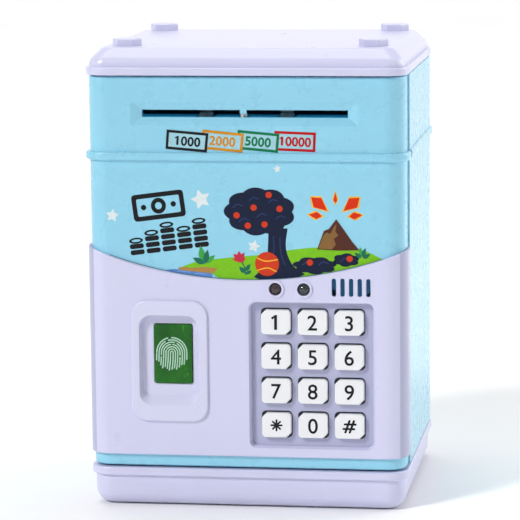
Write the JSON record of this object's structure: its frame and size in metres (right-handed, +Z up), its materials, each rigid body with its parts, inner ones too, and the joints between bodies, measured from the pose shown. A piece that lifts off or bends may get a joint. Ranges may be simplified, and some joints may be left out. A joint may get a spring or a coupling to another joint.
{
  "type": "toy atm savings bank",
  "caption": "Toy savings bank shaped like a cash machine: hinged front door with keypad, fingerprint window, note slot with feed rollers and lock, closing a box for notes and coins.",
  "frame": {"origin": "on the resting plane, under the middle of the whole part's box", "axes": "+X to the right seen from the front, +Y to the back, +Z up; the keypad and note slot face -Y"},
  "size_m": [0.133, 0.1204, 0.1916],
  "materials": {
    "casing_blue": "moulded, satin gloss, pale blue",
    "trim_lavender": "moulded, satin gloss, lavender",
    "key_white": "moulded, satin, white with black printed digits",
    "window_green": "clear glossy green window",
    "lamp_clear": "clear epoxy",
    "inner_white": "plain white moulding",
    "roller_grey": "soft grey rubber",
    "steel": "bright zinc plated",
    "board_green": "printed circuit board",
    "dark_plastic": "black plastic",
    "cell_jacket": "printed metal jacket"
  },
  "bodies": {
    "casing": {"body_shell": "casing_blue", "lid": "trim_lavender", "base_tray": "trim_lavender", "base_screws": "steel", "lid_screws": "steel", "hinge_pin_upper": "steel", "hinge_pin_lower": "steel", "strike": "inner_white"},
    "door": {"door_panel": "casing_blue", "front_fascia": "trim_lavender", "fingerprint_bezel": "trim_lavender", "keypad_mat": "roller_grey", "main_board": "board_green", "fingerprint_switch": "dark_plastic", "indicator_lamp_left": "lamp_clear", "indicator_lamp_right": "lamp_clear", "speaker": "dark_plastic", "note_guide": "casing_blue", "lever_pin": "steel", "feed_motor": "steel", "lock_motor": "steel", "lock_housing": "inner_white", "door_inner_cover": "inner_white", "cover_screws": "steel", "battery_box": "inner_white", "battery_1": "cell_jacket", "battery_2": "cell_jacket", "battery_3": "cell_jacket", "battery_contacts": "steel"},
    "key_1": {"key_1": "key_white"},
    "key_2": {"key_2": "key_white"},
    "key_3": {"key_3": "key_white"},
    "key_4": {"key_4": "key_white"},
    "key_5": {"key_5": "key_white"},
    "key_6": {"key_6": "key_white"},
    "key_7": {"key_7": "key_white"},
    "key_8": {"key_8": "key_white"},
    "key_9": {"key_9": "key_white"},
    "key_star": {"key_star": "key_white"},
    "key_0": {"key_0": "key_white"},
    "key_hash": {"key_hash": "key_white"},
    "fingerprint_button": {"fingerprint_button": "window_green"},
    "note_lever": {"note_lever": "inner_white"},
    "feed_shaft": {"feed_shaft": "steel", "feed_roller_left": "roller_grey", "feed_roller_right": "roller_grey", "feed_gear": "inner_white", "drive_gear": "inner_white"},
    "pinch_shaft": {"pinch_shaft": "steel", "pinch_roller_left": "roller_grey", "pinch_roller_right": "roller_grey", "pinch_gear": "inner_white"},
    "motor_pinion": {"motor_pinion": "inner_white"},
    "lock_pinion": {"lock_pinion": "inner_white"},
    "latch_bolt": {"latch_bolt": "steel"},
    "battery_cover": {"battery_cover": "inner_white"}
  },
  "joints": [
    {"name": "door_hinge", "type": "hinge", "parent": "casing", "child": "door", "pos_m": [-0.06, -0.0493, 0.097], "axis": [0, 0, -1], "range_deg": [0, 100]},
    {"name": "key_1_press", "type": "slide", "parent": "door", "child": "key_1", "axis": [0, 1, 0], "range_m": [0, 0.0012], "stiffness_N_per_m": 350, "springref_m": -0.0004},
    {"name": "key_2_press", "type": "slide", "parent": "door", "child": "key_2", "axis": [0, 1, 0], "range_m": [0, 0.0012], "stiffness_N_per_m": 350, "springref_m": -0.0004},
    {"name": "key_3_press", "type": "slide", "parent": "door", "child": "key_3", "axis": [0, 1, 0], "range_m": [0, 0.0012], "stiffness_N_per_m": 350, "springref_m": -0.0004},
    {"name": "key_4_press", "type": "slide", "parent": "door", "child": "key_4", "axis": [0, 1, 0], "range_m": [0, 0.0012], "stiffness_N_per_m": 350, "springref_m": -0.0004},
    {"name": "key_5_press", "type": "slide", "parent": "door", "child": "key_5", "axis": [0, 1, 0], "range_m": [0, 0.0012], "stiffness_N_per_m": 350, "springref_m": -0.0004},
    {"name": "key_6_press", "type": "slide", "parent": "door", "child": "key_6", "axis": [0, 1, 0], "range_m": [0, 0.0012], "stiffness_N_per_m": 350, "springref_m": -0.0004},
    {"name": "key_7_press", "type": "slide", "parent": "door", "child": "key_7", "axis": [0, 1, 0], "range_m": [0, 0.0012], "stiffness_N_per_m": 350, "springref_m": -0.0004},
    {"name": "key_8_press", "type": "slide", "parent": "door", "child": "key_8", "axis": [0, 1, 0], "range_m": [0, 0.0012], "stiffness_N_per_m": 350, "springref_m": -0.0004},
    {"name": "key_9_press", "type": "slide", "parent": "door", "child": "key_9", "axis": [0, 1, 0], "range_m": [0, 0.0012], "stiffness_N_per_m": 350, "springref_m": -0.0004},
    {"name": "key_star_press", "type": "slide", "parent": "door", "child": "key_star", "axis": [0, 1, 0], "range_m": [0, 0.0012], "stiffness_N_per_m": 350, "springref_m": -0.0004},
    {"name": "key_0_press", "type": "slide", "parent": "door", "child": "key_0", "axis": [0, 1, 0], "range_m": [0, 0.0012], "stiffness_N_per_m": 350, "springref_m": -0.0004},
    {"name": "key_hash_press", "type": "slide", "parent": "door", "child": "key_hash", "axis": [0, 1, 0], "range_m": [0, 0.0012], "stiffness_N_per_m": 350, "springref_m": -0.0004},
    {"name": "fingerprint_press", "type": "slide", "parent": "door", "child": "fingerprint_button", "axis": [0, 1, 0], "range_m": [0, 0.0008], "stiffness_N_per_m": 500, "springref_m": -0.0004},
    {"name": "note_lever_swing", "type": "hinge", "parent": "door", "child": "note_lever", "pos_m": [-0.0005, -0.0531, 0.152], "axis": [-1, 0, 0], "range_deg": [0, 12], "stiffness_Nm_per_rad": 0.0005, "springref_deg": -2.86},
    {"name": "feed_spin", "type": "hinge", "parent": "door", "child": "feed_shaft", "pos_m": [0, -0.0489, 0.1574], "axis": [1, 0, 0], "continuous": true},
    {"name": "pinch_spin", "type": "hinge", "parent": "door", "child": "pinch_shaft", "pos_m": [0, -0.0489, 0.1665], "axis": [1, 0, 0], "continuous": true},
    {"name": "motor_spin", "type": "hinge", "parent": "door", "child": "motor_pinion", "pos_m": [0.048, -0.0489, 0.1496], "axis": [1, 0, 0], "continuous": true},
    {"name": "lock_pinion_spin", "type": "hinge", "parent": "door", "child": "lock_pinion", "pos_m": [0.046, -0.037, 0.118], "axis": [0, 1, 0], "range_deg": [0, 71.7]},
    {"name": "latch_slide", "type": "slide", "parent": "door", "child": "latch_bolt", "axis": [1, 0, 0], "range_m": [0, 0.005]},
    {"name": "battery_cover_pull", "type": "slide", "parent": "door", "child": "battery_cover", "axis": [0, 1, 0], "range_m": [0, 0.03]}
  ],
  "couplings": [
    {"joint": "pinch_spin", "follows": "feed_spin", "ratio": -1},
    {"joint": "motor_spin", "follows": "feed_spin", "ratio": -1.4},
    {"joint": "lock_pinion_spin", "follows": "latch_slide", "rad_per_m": 250}
  ]
}
